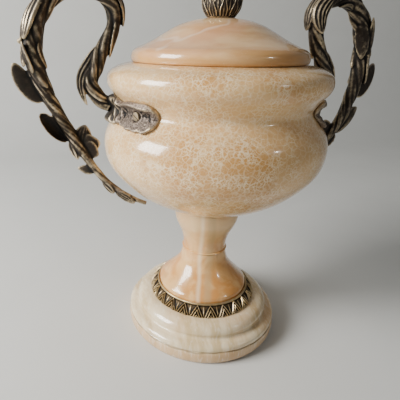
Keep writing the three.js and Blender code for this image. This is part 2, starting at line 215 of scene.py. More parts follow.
# %% A finish and its nodes
class Finish:
    def __init__(self, name):
        self.material = bpy.data.materials.new(name)
        self.material.use_nodes = True
        self.nodes = self.material.node_tree.nodes
        self.links = self.material.node_tree.links
        self.shader = self.nodes["Principled BSDF"]

    def node(self, kind, settings=None, inputs=None):
        made = self.nodes.new(kind)
        for name, value in (settings or {}).items():
            setattr(made, name, value)
        for name, value in (inputs or {}).items():
            self.feed(made.inputs[name], value)
        return [Signal(self, socket) for socket in made.outputs]

    def feed(self, target, value):
        if isinstance(value, Signal):
            self.links.new(value.socket, target)
        elif hasattr(target.default_value, "__len__"):
            size = len(target.default_value)
            target.default_value = tuple(value) + (1.0,) * (size - len(value))
        else:
            target.default_value = value

    def place(self, scale=(1, 1, 1), lift=(0, 0, 0)):
        """Where the surface is, in the frame's metres, scaled along each axis."""
        here = self.node("ShaderNodeTexCoord")[3]
        return self.node("ShaderNodeMapping", {}, {"Vector": here, "Scale": scale, "Location": lift})[0]

    def noise(self, vector, scale, detail=3.0, rough=0.5, distortion=0.0):
        inputs = {"Vector": vector, "Scale": scale, "Detail": detail}
        inputs.update({"Roughness": rough, "Distortion": distortion})
        return self.node("ShaderNodeTexNoise", {}, inputs)[0]

    def wobbled(self, vector, scale, amount, detail=2.0):
        """The same place, pushed about by a noise, so that what is drawn there meanders."""
        push = self.node("ShaderNodeTexNoise", {}, {"Vector": vector, "Scale": scale, "Detail": detail})[1]
        centred = self.vector("SUBTRACT", push, (0.5, 0.5, 0.5))
        scaled = self.node("ShaderNodeVectorMath", {"operation": "SCALE"}, {0: centred, "Scale": amount})[0]
        return self.vector("ADD", vector, scaled)

    def vector(self, operation, first, second):
        return self.node("ShaderNodeVectorMath", {"operation": operation}, {0: first, 1: second})[0]

    def web(self, vector, scale, width):
        """Thin lines between the cells of a cracked surface, 1 on the lines."""
        settings = {"feature": "DISTANCE_TO_EDGE"}
        gap = self.node("ShaderNodeTexVoronoi", settings, {"Vector": vector, "Scale": scale})[0]
        return 1 - gap.ramp(0.0, width)

    def mix(self, first, second, share):
        inputs = {"Factor": share, 6: first, 7: second}
        return self.node("ShaderNodeMix", {"data_type": "RGBA"}, inputs)[2]

    def attribute(self, name):
        return self.node("ShaderNodeAttribute", {"attribute_name": name})[2]

    def bump(self, height, depth, strength):
        inputs = {"Height": height, "Distance": depth, "Strength": strength}
        return self.node("ShaderNodeBump", {}, inputs)[0]

    def finish(self, **sockets):
        for name, value in sockets.items():
            self.feed(self.shader.inputs[name.replace("_", " ")], value)
        print("finish:", self.material.name, "nodes:", len(self.nodes))
        return self.material


def srgb(red, green, blue):
    """A colour as it looks on paper, 0 to 255, in the light values that a shader takes."""
    channels = [c / 255 for c in (red, green, blue)]
    return tuple(c / 12.92 if c < 0.04045 else ((c + 0.055) / 1.055) ** 2.4 for c in channels)


# %% [markdown]
# ## Polish
# All the stones are polished much alike: a clear coat over the stone, and a little light that
# goes in and comes out again beside it. These values are the same all over a piece, so they sit
# on the shader's own sockets, and a stone that differs states only its difference.

# %% Polish
TO_MM = 1000.0
POLISH = {
    "Coat_Weight": 0.5,
    "Coat_Roughness": 0.05,
    "IOR": 1.49,
    "Subsurface_Weight": 0.06,
    "Subsurface_Radius": (1.0, 0.6, 0.35),
    "Subsurface_Scale": 0.006,
}
print("polish:", POLISH)

# %% [markdown]
# ## The bowl's onyx
# The bowl is cut from a warm beige onyx that is crazed all through with pale fibres, in cells a
# few millimetres wide, over slow clouds of tan and cream. The fibres are the edges of Voronoi
# cells, bent by a noise so that they run like threads. Two nets of different size lie over each
# other, and a noise lets them fade in places. The polish is a clear coat with faint waviness.


# %% Bowl finish
def bowl_onyx():
    f = Finish("bowl_onyx")
    place = f.place()
    clouds = f.noise(place, 11.0, 3.0, 0.5, 0.6)
    patches = f.noise(place, 38.0, 4.0, 0.6, 0.4)
    colour = f.mix(srgb(198, 146, 82), srgb(225, 182, 124), clouds.ramp(0.36, 0.64))
    colour = f.mix(colour, srgb(192, 138, 74), patches.ramp(0.52, 0.76) * 0.65)
    colour = f.mix(colour, srgb(212, 152, 104), f.noise(place, 21.0, 2.0).ramp(0.55, 0.75) * 0.3)
    threads = f.wobbled(place, 160.0, 0.0060, 3.0)
    coarse = f.web(threads, 165.0, 0.12)
    fine = f.web(f.wobbled(place, 330.0, 0.0036, 2.0), 290.0, 0.13)
    fading = f.noise(place, 60.0, 2.0).ramp(0.34, 0.62)
    net = (coarse * 0.8 + fine * (0.3 + fading * 0.5)).clamped()
    colour = f.mix(colour, srgb(244, 222, 182), net * (0.46 + fading * 0.34))
    grain = f.noise(place, 900.0, 2.0)
    colour = f.mix(colour, srgb(188, 140, 92), grain.ramp(0.6, 0.85) * 0.22)
    waves = f.noise(place, 45.0, 2.0)
    return f.finish(
        Base_Color=colour,
        Roughness=0.16 + grain * 0.06 + net * 0.05,
        Normal=f.bump(waves + net * 0.05, 0.0006, 0.25),
        **POLISH,
    )


# %% [markdown]
# ## The lid's onyx
# The lid is from a calmer part of the block: pinkish beige, in soft layers that lie aslant, with
# one pale healed crack that runs over the dome. The layers are a noise stretched along two
# axes. The crack is where a wavy tilted plane cuts the dome: a plane's distance is a sum of the
# coordinates, so it is cheap, and a noise makes it wander.


# %% Lid finish
def lid_onyx():
    f = Finish("lid_onyx")
    place = f.place()
    x, y, z = f.node("ShaderNodeSeparateXYZ", {}, {0: f.wobbled(place, 26.0, 0.012)})[:3]
    layers = f.noise(f.wobbled(f.place((0.5, 0.7, 3.2), (0.3, 0, 0)), 9.0, 0.05), 26.0, 4.0)
    colour = f.mix(srgb(202, 154, 100), srgb(228, 190, 142), layers.ramp(0.35, 0.65))
    clouds = f.noise(place, 24.0, 3.0)
    colour = f.mix(colour, srgb(204, 144, 90), clouds.ramp(0.5, 0.72) * 0.45)
    low = 1 - (z * TO_MM).ramp(366.0, 384.0)
    colour = f.mix(colour, srgb(206, 154, 84), low * 0.5)
    crack = (z * 0.939 - x * 0.297 - y * 0.171) * TO_MM - 389.7
    line = 1 - crack.math("ABSOLUTE").ramp(0.1, 1.1)
    front = 1 - (y * TO_MM).ramp(-10.0, 10.0)
    colour = f.mix(colour, srgb(240, 218, 192), line * front * 0.55)
    shade = 1 - (crack + 3.5).math("ABSOLUTE").ramp(1.0, 7.0)
    colour = f.mix(colour, srgb(204, 146, 108), shade * front * 0.4)
    specks = f.noise(place, 700.0, 2.0)
    colour = f.mix(colour, srgb(240, 224, 200), specks.ramp(0.6, 0.8) * 0.2)
    return f.finish(
        Base_Color=colour,
        Roughness=0.15 + specks * 0.08,
        Normal=f.bump(f.noise(place, 45.0, 2.0), 0.0005, 0.25),
        **POLISH,
    )


# %% [markdown]
# ## The stem's onyx
# The stem glows orange at the bell and pales to cream in the cup, with a whitish vein that runs
# up its front. Height alone gives the slow change, and the vein is again a wavy plane.


# %% Stem finish
def stem_onyx():
    f = Finish("stem_onyx")
    place = f.place()
    x, y, z = f.node("ShaderNodeSeparateXYZ", {}, {0: f.wobbled(place, 18.0, 0.010)})[:3]
    height = z * TO_MM
    clouds = f.noise(place, 30.0, 4.0, 0.55, 0.5)
    colour = f.mix(srgb(210, 148, 80), srgb(230, 184, 122), clouds.ramp(0.38, 0.62))
    streaks = f.noise(f.place((1.6, 1.6, 0.25)), 60.0, 3.0)
    colour = f.mix(colour, srgb(200, 152, 92), streaks.ramp(0.48, 0.7) * 0.6)
    pale = height.ramp(128.0, 165.0)
    colour = f.mix(colour, srgb(228, 194, 144), pale * (0.55 + clouds * 0.4))
    across = (x * 0.943 - y * 0.333) * TO_MM + 4.6
    vein = 1 - across.math("ABSOLUTE").ramp(0.0, 4.6)
    front = 1 - (y * TO_MM).ramp(-8.0, 0.0)
    colour = f.mix(colour, srgb(244, 222, 184), vein * front * 0.6)
    green = 1 - (across - 12.0).math("ABSOLUTE").ramp(2.0, 8.0)
    colour = f.mix(colour, srgb(186, 162, 118), green * front * 0.5)
    grain = f.noise(place, 800.0, 2.0)
    return f.finish(
        Base_Color=colour,
        Roughness=0.14 + grain * 0.07,
        Normal=f.bump(f.noise(place, 55.0, 2.0), 0.0004, 0.25),
        **{**POLISH, "Subsurface_Weight": 0.08},
    )


# %% [markdown]
# ## The foot's onyx
# The foot is the palest stone, cream with a green cast, and its layers stand upright, so they
# cross the mouldings as soft stripes. The noise is squeezed along one level direction and drawn
# out along the other two. A thin seam runs round it above the straight band, and its groove is
# painted dark, as painted shade.


# %% Foot finish
def foot_onyx():
    f = Finish("foot_onyx")
    place = f.place()
    layers = f.noise(f.wobbled(f.place((2.6, 0.7, 0.35)), 12.0, 0.03), 24.0, 4.0, 0.55)
    clouds = f.noise(place, 16.0, 3.0)
    colour = f.mix(srgb(206, 182, 138), srgb(234, 216, 180), layers.ramp(0.36, 0.6))
    colour = f.mix(colour, srgb(202, 154, 96), clouds.ramp(0.5, 0.74) * 0.6)
    height = f.node("ShaderNodeSeparateXYZ", {}, {0: f.wobbled(place, 60.0, 0.006)})[2] * TO_MM
    band = 1 - height.ramp(17.0, 20.0)
    colour = f.mix(colour, srgb(200, 154, 104), band * 0.6)
    fine = f.noise(f.place((2.0, 1.0, 0.4)), 160.0, 3.0)
    colour = f.mix(colour, srgb(244, 236, 218), fine.ramp(0.5, 0.72) * 0.35)
    # Painted shade: the groove of the seam above the straight band is painted dark.
    seam_shade = 1 - (height - 19.4).math("ABSOLUTE").ramp(0.2, 1.3)
    colour = f.mix(colour, srgb(120, 96, 66), seam_shade * 0.6)
    grain = f.noise(place, 700.0, 2.0)
    return f.finish(
        Base_Color=colour,
        Roughness=0.17 + grain * 0.08,
        Normal=f.bump(f.noise(place, 50.0, 2.0), 0.0005, 0.25),
        **{**POLISH, "Coat_Weight": 0.45, "Coat_Roughness": 0.07, "Subsurface_Radius": (0.9, 0.8, 0.5)},
    )


# %% [markdown]
# ## Antique brass
# The castings were dipped dark and then handled for years: hollows stay almost black, with a
# hint of green, slopes are brown bronze, and ridges are rubbed to pale gold with a pinkish grey
# bloom. The mesh carries an attribute, ridge, that says how far a point stands out from its
# surroundings, and the finish goes from dark to bright along it, broken up by noise. Edge wear
# could come from the Pointiness socket, but an attribute of our own has a known scale.


# %% Brass finish
def brass(name, hollow, slope, crest, wear=0.0, plate=0.0):
    f = Finish(name)
    place = f.place()
    mottle = f.noise(place, 130.0, 4.0, 0.65)
    grit = f.noise(place, 900.0, 3.0, 0.7)
    ridge = f.attribute("ridge") + (mottle - 0.5) * 0.35 + (grit - 0.5) * 0.14 + wear
    rubbed = f.noise(place, 38.0, 3.0, 0.6).ramp(0.40, 0.62)
    colour = f.mix(hollow, slope, ridge.ramp(0.30, 0.62))
    bright = ridge.ramp(0.56, 0.80) * (0.4 + rubbed * 0.6)
    colour = f.mix(colour, crest, bright)
    bloom = f.noise(place, 70.0, 3.0).ramp(0.50, 0.68)
    colour = f.mix(colour, srgb(150, 134, 128), bloom * ridge.ramp(0.5, 0.8) * 0.35)
    green = f.noise(place, 95.0, 3.0).ramp(0.55, 0.72) * (1 - bright)
    colour = f.mix(colour, srgb(34, 38, 28), green * 0.4)
    rough = 0.5 - bright * 0.2 + grit * 0.12
    if plate:
        worn = f.attribute("plate") * plate
        sand = f.noise(place, 620.0, 3.0, 0.75)
        dusty = f.mix(srgb(78, 66, 56), srgb(168, 150, 136), sand.ramp(0.36, 0.64))
        dusty = f.mix(dusty, srgb(242, 226, 196), sand.ramp(0.64, 0.75))
        colour = f.mix(colour, dusty, worn * ridge.ramp(0.25, 0.55) * (1 - bright * 0.6) * 0.85)
        rough = rough + worn * 0.06
        grit = grit + worn * sand * 1.5
    return f.finish(
        Base_Color=colour,
        Metallic=0.6 + bright * 0.35,
        Roughness=rough,
        Normal=f.bump(grit, 0.0005, 0.5),
    )


# %% [markdown]
# All the finishes are made at once, each under the name of the slot that it belongs to.

# %% The finishes
FINISHES = {
    "bowl_onyx": bowl_onyx(),
    "lid_onyx": lid_onyx(),
    "stem_onyx": stem_onyx(),
    "foot_onyx": foot_onyx(),
    "dark_brass": brass(
        "dark_brass", srgb(15, 13, 11), srgb(56, 47, 38), srgb(222, 202, 166), plate=1.0
    ),
    "gilt_brass": brass("gilt_brass", srgb(26, 21, 15), srgb(104, 84, 54), srgb(226, 200, 150)),
    "screw_brass": brass("screw_brass", srgb(50, 42, 32), srgb(140, 124, 98), srgb(220, 205, 175), 0.1),
}

# %% [markdown]
# ## A turned stone piece
# Each stone piece is an outline carried round the axis with many sides, so that its edge looks
# round from close by.

# %% Turning a stone piece
STONE_SIDES = 180


def stone(name, outline, node, slot):
    points, faces = turned(outline, STONE_SIDES)
    return piece(name, points, faces, node, slot, STONE_CREASE)


# %% [markdown]
# ## The foot
# The foot is one turned piece: a straight band, a thin seam, a lower torus, a soft hollow and an
# upper torus that comes in to the seat of the stem. The edges that touch the table are eased, as
# a polisher would leave them.

# %% Foot
foot_base = [(0, 0), (101.6, 0), (103.0, 0.5), (103.9, 1.8)]
foot_band = spline([(103.9, 1.8), (106.3, 6), (107.0, 11), (106.8, 16), (106.0, 18.6)], 14)
foot_seam = spline([(106.0, 18.6), (104.6, 19.5), (105.3, 20.4)], 8)
foot_tori = spline(
    [
        (105.3, 20.4),
        (106.0, 22.5),
        (105.0, 26),
        (101.2, 29.0),
        (96.4, 30.2),
        (93.4, 31.6),
        (92.6, 34),
        (93.5, 37.4),
        (92.6, 41),
        (88.5, 45.6),
        (82, 48.5),
        (75.5, 49.2),
    ],
    66,
)
foot_outline = [*foot_base, *foot_band[1:], *foot_seam[1:], *foot_tori[1:], (0, 49.2)]
stone("foot_stone", foot_outline, "foot", "foot_onyx")

# %% [markdown]
# ## The stem
# A bell rises into a slim waist with a small bead between two fine grooves, and opens again into
# the cup that carries the bowl.

# %% Stem
stem_bell = spline(
    [
        (61.0, 49.8),
        (61.0, 57.5),
        (61.8, 63),
        (61.6, 68),
        (59.6, 71.2),
        (52.6, 78),
        (46.2, 84.6),
        (40.6, 91),
        (35.0, 99),
        (32.0, 107),
        (30.2, 115),
        (29.8, 118),
    ],
    64,
)
stem_bead = spline([(29.8, 118), (29.4, 118.6), (30.9, 119.4), (31.0, 120.2), (29.4, 121.0), (29.6, 122)], 20)
stem_cup = spline(
    [
        (29.6, 122),
        (29.7, 128),
        (31.0, 136),
        (34.4, 146),
        (39.1, 156),
        (42.6, 166),
        (44, 178),
        (43, 184),
    ],
    48,
)
stem_outline = [(0, 49.5), (60.6, 49.5), *stem_bell, *stem_bead[1:], *stem_cup[1:], (0, 184)]
stone("stem_stone", stem_outline, "stem", "stem_onyx")

# %% [markdown]
# ## The bowl
# The bowl is hollowed to a wall of about twelve millimetres. Outside, a full belly draws in to a
# neck, and a round rim rolls over to the flat land that the lid sits on. The mouth is a straight
# step, and below it the hollow follows the belly.

# %% Bowl
SEAT = 0.3
BOWL_BOTTOM = 184 + SEAT
bowl_face = spline(
    [
        (45, BOWL_BOTTOM),
        (75, BOWL_BOTTOM + 12.5),
        (100, BOWL_BOTTOM + 28),
        (121, BOWL_BOTTOM + 48.5),
        (132.6, 251),
        (136, 272),
        (132, 289),
        (122, 303),
        (114.8, 314),
        (119.5, 325),
        (128.4, 336),
        (131, 345),
        (127.8, 354),
        (116, 360.6),
        (101.2, 364),
    ],
    120,
)
bowl_hollow = spline(
    [
        (92, 351),
        (102.8, 324),
        (104.8, 306),
        (124, 272),
        (115, 244),
        (90, 220.3),
        (50, 204.3),
        (0, 199.3),
    ],
    48,
)
bowl_outline = [(0, BOWL_BOTTOM), *bowl_face, (92.8, 364), (92, 363.2), *bowl_hollow]
stone("bowl_stone", bowl_outline, "bowl", "bowl_onyx")


def neck_radius(height):
    """Radius of the bowl's outer face at a height between its widest belly and its rim."""
    upper = bowl_face[(bowl_face[:, 1] > 272) & (bowl_face[:, 1] < 345)]
    return np.interp(height, upper[:, 1], upper[:, 0])


# %% [markdown]
# ## The lid
# The lid is a low dome with a thick round edge. It is hollow too, and a register under it drops
# into the mouth, so that it can't slide off. Nothing fastens it.

# %% Lid
lid_hollow = spline([(0, 401), (40, 396.8), (62, 384.8), (80.2, 368.3)], 24)
lid_edge = spline(
    [
        (91.2, 364.3),
        (99.6, 364.3),
        (101.9, 366),
        (102.5, 369),
        (102.2, 372.4),
        (100.5, 376),
        (96.5, 379.2),
    ],
    28,
)
lid_dome = spline(
    [
        (96.5, 379.2),
        (90.5, 381.6),
        (84, 384.6),
        (75, 389),
        (62, 396.4),
        (50, 402.8),
        (38, 407.2),
        (26, 409.9),
        (14, 411),
    ],
    48,
)
lid_register = [(80.2, 356.3), (90.6, 356.3), (91.2, 356.9)]
lid_outline = [*lid_hollow, *lid_register, *lid_edge, *lid_dome[1:], (0, 411)]
stone("lid_stone", lid_outline, "lid", "lid_onyx")

# %% [markdown]
# ## Ridges and hollows
# The brass finish needs to know what stands out. Each point of a dense mesh is compared with the
# mean of its neighbourhood, found by passing the points back and forth along the edges: a crest
# lies outside that mean, and a groove lies inside it.


# %% Measuring ridges
def corners(mesh):
    points = np.empty(len(mesh.vertices) * 3)
    mesh.vertices.foreach_get("co", points)
    ends = np.empty(len(mesh.edges) * 2, np.int64)
    mesh.edges.foreach_get("vertices", ends)
    return points.reshape(-1, 3), ends.reshape(-1, 2)


def relaxed(points, ends, rounds, share=0.5):
    count = len(points)
    both = np.concatenate([ends[:, 0], ends[:, 1]])
    other = np.concatenate([ends[:, 1], ends[:, 0]])
    number = np.maximum(np.bincount(both, minlength=count), 1)
    for _ in range(rounds):
        mean = np.stack([np.bincount(both, points[other, k], count) for k in range(3)], 1)
        points = points + share * (mean / number[:, None] - points)
    return points


def mark_ridges(mesh, rounds, height):
    points, ends = corners(mesh)
    normals = np.empty(len(points) * 3)
    mesh.vertices.foreach_get("normal", normals)
    lifted = ((points - relaxed(points, ends, rounds)) * normals.reshape(-1, 3)).sum(1)
    ridge = 0.5 + 0.5 * np.clip(lifted / (height * MM), -1, 1)
    store(mesh, "ridge", ridge)
    return points / MM


def store(mesh, name, values):
    attribute = mesh.attributes.new(name, "FLOAT", "POINT")
    attribute.data.foreach_set("value", np.asarray(values, np.float32))


# %% [markdown]
# ## Fusing a casting
# A casting has no joints: leaves run into stems with a soft fillet. Each leaf and stem is made
# here as a closed shell that overlaps its neighbours, and a voxel remesh melts all of them into
# one skin, as the wax model was before it was cast. Boolean unions of so many curved shells would
# be slower and would leave knife-sharp seams.


# %% Fusing shells
def fused(name, shells, voxel):
    points = []
    faces = []
    for shell_points, shell_faces in shells:
        start = len(points)
        points += (np.asarray(shell_points) * MM).tolist()
        faces += [[start + corner for corner in face] for face in shell_faces]
    mesh = bpy.data.meshes.new(name)
    mesh.from_pydata(points, [], faces)
    rough = bpy.data.objects.new(name + "_shells", mesh)
    bpy.context.scene.collection.objects.link(rough)
    remesh = rough.modifiers.new("melt", "REMESH")
    remesh.mode = "VOXEL"
    remesh.voxel_size = voxel * MM
    graph = bpy.context.evaluated_depsgraph_get()
    skin = bpy.data.meshes.new_from_object(rough.evaluated_get(graph))
    bpy.data.objects.remove(rough)
    bpy.data.meshes.remove(mesh)
    skin.name = name
    moved, ends = corners(skin)
    moved = relaxed(moved, ends, 1, 0.55)
    skin.vertices.foreach_set("co", moved.ravel())
    skin.update()
    return skin


def lofted(sections):
    """A closed shell through rings of points, with its two ends drawn to a point each."""
    sections = np.asarray(sections)
    rows, sides = sections.shape[:2]
    points = np.concatenate([sections.reshape(-1, 3), sections[:1].mean(1), sections[-1:].mean(1)])
    first, last = rows * sides, rows * sides + 1
    faces = []
    for i in range(sides):
        j = (i + 1) % sides
        for row in range(rows - 1):
            a, b = row * sides, (row + 1) * sides
            faces.append([a + i, a + j, b + j, b + i])
        faces.append([first, j, i])
        faces.append([last, (rows - 1) * sides + i, (rows - 1) * sides + j])
    return points, faces


# %% [markdown]
# ## The finial
# The knob of the lid is a cast bud. Four rows of upright leaves overlap like roof tiles, each
# with a raised rim, a rib up its middle and a tip that leans out a little. One function makes a
# leaf from its angle and its two heights, and loops set the rows.

# %% Finial
FINIAL_BOTTOM = 411 + SEAT
FINIAL_LEAVES = 10
bud = spline(
    [(15.5, 0), (17.2, 3), (20.6, 8), (22, 14), (21.4, 23), (18.6, 32), (13.4, 41), (6.4, 48.6), (0, 51.6)],
    60,
)


def bud_radius(height):
    return np.interp(height, bud[:, 1], bud[:, 0])


def bud_leaf(angle, low, high, half_width, stand):
    rows, columns = 26, 12
    sections = []
    for run in np.linspace(0.01, 0.995, rows):
        height = low + (high - low) * run
        taper = min(1, 1.5 * (1 - run)) ** 0.62
        half = half_width * taper * (0.8 + 0.2 * math.sin(math.pi * min(run * 1.6, 1)))
        side = np.linspace(-1, 1, columns)
        rim = np.exp(-(((np.abs(side) - 0.84) / 0.16) ** 2))
        rib = np.exp(-((side / 0.16) ** 2))
        veins = 0.12 * np.cos(side * 14)
        lean = 1.5 * run**4
        skin = bud_radius(height) - 1.1 + stand + lean
        outer = skin + 0.75 * rim + 0.6 * rib * (1 - run) + veins
        inner = skin - 1.9 + 0 * side
        around = angle + side * half / bud_radius(min(height, 30))
        out = np.stack([outer * np.cos(around), outer * np.sin(around), 0 * side + height], 1)
        back = np.stack([inner * np.cos(around), inner * np.sin(around), 0 * side + height], 1)
        sections.append(np.concatenate([out, back[::-1]]))
    points, faces = lofted(sections)
    return points + np.array([0, 0, FINIAL_BOTTOM]), faces


pitch = 2 * math.pi / FINIAL_LEAVES
core = [(0, 0.6), *(bud[:-1] - np.array([1.6, 0]))[2:], (0, 50.6)]
core_points, core_faces = turned(core, 60)
collar = [(0, 0), (15.2, 0), (15.8, 0.8), (15.6, 1.8), (14.6, 2.6), (0, 2.6)]
collar_points, collar_faces = turned(collar, 60)
up = np.array([0, 0, FINIAL_BOTTOM])
shells = [(np.array(core_points) + up, core_faces), (np.array(collar_points) + up, collar_faces)]
# Each row: share of a pitch, low and high end, half width, and how far it stands off.
BUD_ROWS = [
    (0, 1.2, 20.5, 4.4, 0.9),
    (0.5, 1.0, 33.5, 5.2, 0.1),
    (0, 14, 44.5, 4.6, -0.5),
    (0.5, 24, 51, 3.6, -0.9),
]
FINIAL_VOXEL = 0.42
for i in range(FINIAL_LEAVES):
    for offset, *row in BUD_ROWS:
        shells.append(bud_leaf((i + offset) * pitch + 0.1, *row))
finial = fused("finial_cast", shells, FINIAL_VOXEL)
mark_ridges(finial, 14, 0.35)
piece_of("finial_cast", finial, "finial", "dark_brass", CAST_CREASE)

# %% [markdown]
# ## The leaf ring
# A cast collar hides the joint of stem and foot. It carries pointed arches, one inside the
# other, with a small leaf between each two, under a plain bead. The relief is low and regular,
# so it is a height over a turned collar: contours of one simple function of side and height give
# all the nested arches at once.

# %% Leaf ring
RING_BOTTOM = 49.2 + SEAT
RING_LEAVES = 24
RING_RELIEF = 1.5
RING_ROWS = 40
STEPS_PER_LEAF = 26


def ring_relief(side, rise):
    """Height of the relief, -1 to 1. side runs -1 to 1 over a leaf, rise 0 to 1 up the collar."""
    level = np.abs(side) + 0.98 * rise**1.25
    arches = np.cos(2 * math.pi * (level - 0.86) / 0.36)
    inside = 1 - smooth_step(1.0, 1.06, level)
    between = -0.8 + 1.3 * np.exp(-(((1 - np.abs(side)) / 0.10) ** 2)) * (1 - rise)
    relief = arches * inside + between * (1 - inside)
    feet = np.exp(-(((np.abs(side) - 0.3) / 0.14) ** 2) - ((rise - 0.07) / 0.10) ** 2)
    hollow = np.exp(-((side / 0.1) ** 2) - ((rise - 0.1) / 0.2) ** 2)
    return np.clip(relief + 1.2 * feet - 1.1 * hollow, -1, 1.15)


def ring_collar():
    sides = RING_LEAVES * STEPS_PER_LEAF
    angles = np.arange(sides) * 2 * math.pi / sides
    side = ((np.arange(sides) % STEPS_PER_LEAF) / STEPS_PER_LEAF) * 2 - 1
    face = spline([(73.4, 0), (72.8, 3), (70.6, 7), (67.4, 10.4), (64.9, 12.2)], RING_ROWS)
    slope = np.gradient(face, axis=0)
    out = np.stack([slope[:, 1], -slope[:, 0]], 1)
    out /= np.linalg.norm(out, axis=1)[:, None]
    rings = [(62.4 + 0 * angles, 0 * angles)]
    for row in range(RING_ROWS + 1):
        rise = row / RING_ROWS
        fade = smooth_step(0, 0.04, rise) * (1 - smooth_step(0.93, 1.0, rise))
        lift_here = RING_RELIEF * (ring_relief(side, rise) * fade + 0.15)
        rings.append((face[row, 0] + out[row, 0] * lift_here, face[row, 1] + out[row, 1] * lift_here))
    bead = [(64.6, 12.3), (65.4, 13.1), (65.2, 14.3), (64.2, 15.0), (63.2, 14.9), (62.4, 14.2)]
    rings += [(radius + 0 * angles, height + 0 * angles) for radius, height in bead]
    points = [
        np.stack([radius * np.cos(angles), radius * np.sin(angles), height + RING_BOTTOM], 1)
        for radius, height in rings
    ]
    count = len(rings)
    faces = []
    for row in range(count):
        a, b = row * sides, (row + 1) % count * sides
        faces += [[a + i, a + (i + 1) % sides, b + (i + 1) % sides, b + i] for i in range(sides)]
    return np.concatenate(points), faces


points, faces = ring_collar()
ring = piece("ring_cast", points, faces, "leaf_ring", "gilt_brass", CAST_CREASE)
mark_ridges(ring.data, 10, 0.4)

# %% [markdown]
# ## The vine of a handle
# Each handle is one casting: a twisted vine that springs from the neck, climbs past the rim,
# arches over and comes down to the bottom of the bowl. Everything on it is placed by a share of
# its length and an angle round it, so the middle line and its frame come first. The line is a
# centripetal Catmull-Rom spline through the listed points, which keeps tight bends free of
# loops.

# %% The vine's middle line
VINE = [
    (128, 0, 317), (139.8, -0.4, 324), (148.8, -1.8, 342), (142.5, -3.5, 360), (133.3, -5.2, 379),
    (122.3, -8.2, 400), (120.3, -7.7, 420), (133.2, -4.6, 434), (156.2, 0.4, 438), (182.2, 6.1, 428),
    (200.7, 9.7, 407), (207.9, 8.3, 380), (204.4, 3, 349), (192.9, -4.2, 317), (179.8, -8.6, 291),
    (160.7, -4.4, 257), (139.2, 6.1, 228), (119.5, 15.1, 213), (101.3, 20.3, 203.5), (88.4, 22, 198.5),
]
VINE_RADII = [
    (0, 9), (0.06, 9.5), (0.14, 9), (0.21, 8.2), (0.28, 11), (0.38, 9.5), (0.46, 10.6),
    (0.58, 9), (0.7, 7.2), (0.84, 4.8), (1, 2.6),
]


def centripetal(knots, steps):
    """Points on the spline through the knots, with the spacing of the knots to the power 1/2."""
    knots = np.asarray(knots, float)
    before = 2 * knots[0] - knots[1]
    after = 2 * knots[-1] - knots[-2]
    whole = np.vstack([before, knots, after])
    line = []
    for a, b, c, d in zip(whole, whole[1:], whole[2:], whole[3:]):
        gaps = [math.sqrt(np.linalg.norm(q - p)) for p, q in ((a, b), (b, c), (c, d))]
        start = ((b - a) / gaps[0] - (c - a) / (gaps[0] + gaps[1]) + (c - b) / gaps[1]) * gaps[1]
        end = ((c - b) / gaps[1] - (d - b) / (gaps[1] + gaps[2]) + (d - c) / gaps[2]) * gaps[1]
        t = np.linspace(0, 1, steps, endpoint=False)[:, None]
        cubic = (2 * b - 2 * c + start + end) * t**3
        line.append(cubic + (3 * c - 3 * b - 2 * start - end) * t**2 + start * t + b)
    return np.vstack([*line, knots[-1:]])


line = centripetal([(-reach, -step, height) for reach, step, height in VINE], 40)
travel = np.concatenate([[0], np.cumsum(np.linalg.norm(np.diff(line, axis=0), axis=1))])
VINE_LENGTH = travel[-1]
vine_radii = spline(VINE_RADII, 80)


def on_vine(share):
    """Place and frame of the vine at a share of its length: along, outward and front."""
    share = np.clip(np.asarray(share, float), 0, 1)
    place = np.stack([np.interp(share * VINE_LENGTH, travel, line[:, k]) for k in range(3)], -1)
    step = 0.004
    ahead = np.clip(share + step, 0, 1) * VINE_LENGTH
    behind = np.clip(share - step, 0, 1) * VINE_LENGTH
    along = np.stack(
        [np.interp(ahead, travel, line[:, k]) - np.interp(behind, travel, line[:, k]) for k in range(3)], -1
    )
    along /= np.linalg.norm(along, axis=-1, keepdims=True)
    outward = np.cross(along, np.array([0.0, -1.0, 0.0]))
    outward /= np.linalg.norm(outward, axis=-1, keepdims=True)
    front = np.cross(outward, along)
    return place, along, outward, front


def vine_radius(share):
    return np.interp(share, vine_radii[:, 0], vine_radii[:, 1])


print("vine length in mm:", round(VINE_LENGTH))

# %% [markdown]
# ## Twisted stems
# The core of the vine is four stems laid up like a rope, with a turn about every 130 mm. A stem is
# half an ellipse in section, with a valley to its neighbour. No two are alike: each has a width
# and a thickness of its own, which comes and goes along the vine, and a few bark grooves. Beyond
# the arch the stems grow together, so the valleys die away towards the tail.

# %% Twisted stems
STRANDS = 4
VINE_TWIST = 3.6
random = np.random.default_rng(11)
strand_width = random.uniform(0.65, 1.35, STRANDS)
strand_edge = np.concatenate([[0], np.cumsum(strand_width)]) / strand_width.sum()
strand_size = random.uniform(0.85, 1.15, STRANDS)
strand_phase = random.uniform(0, 2 * math.pi, STRANDS)


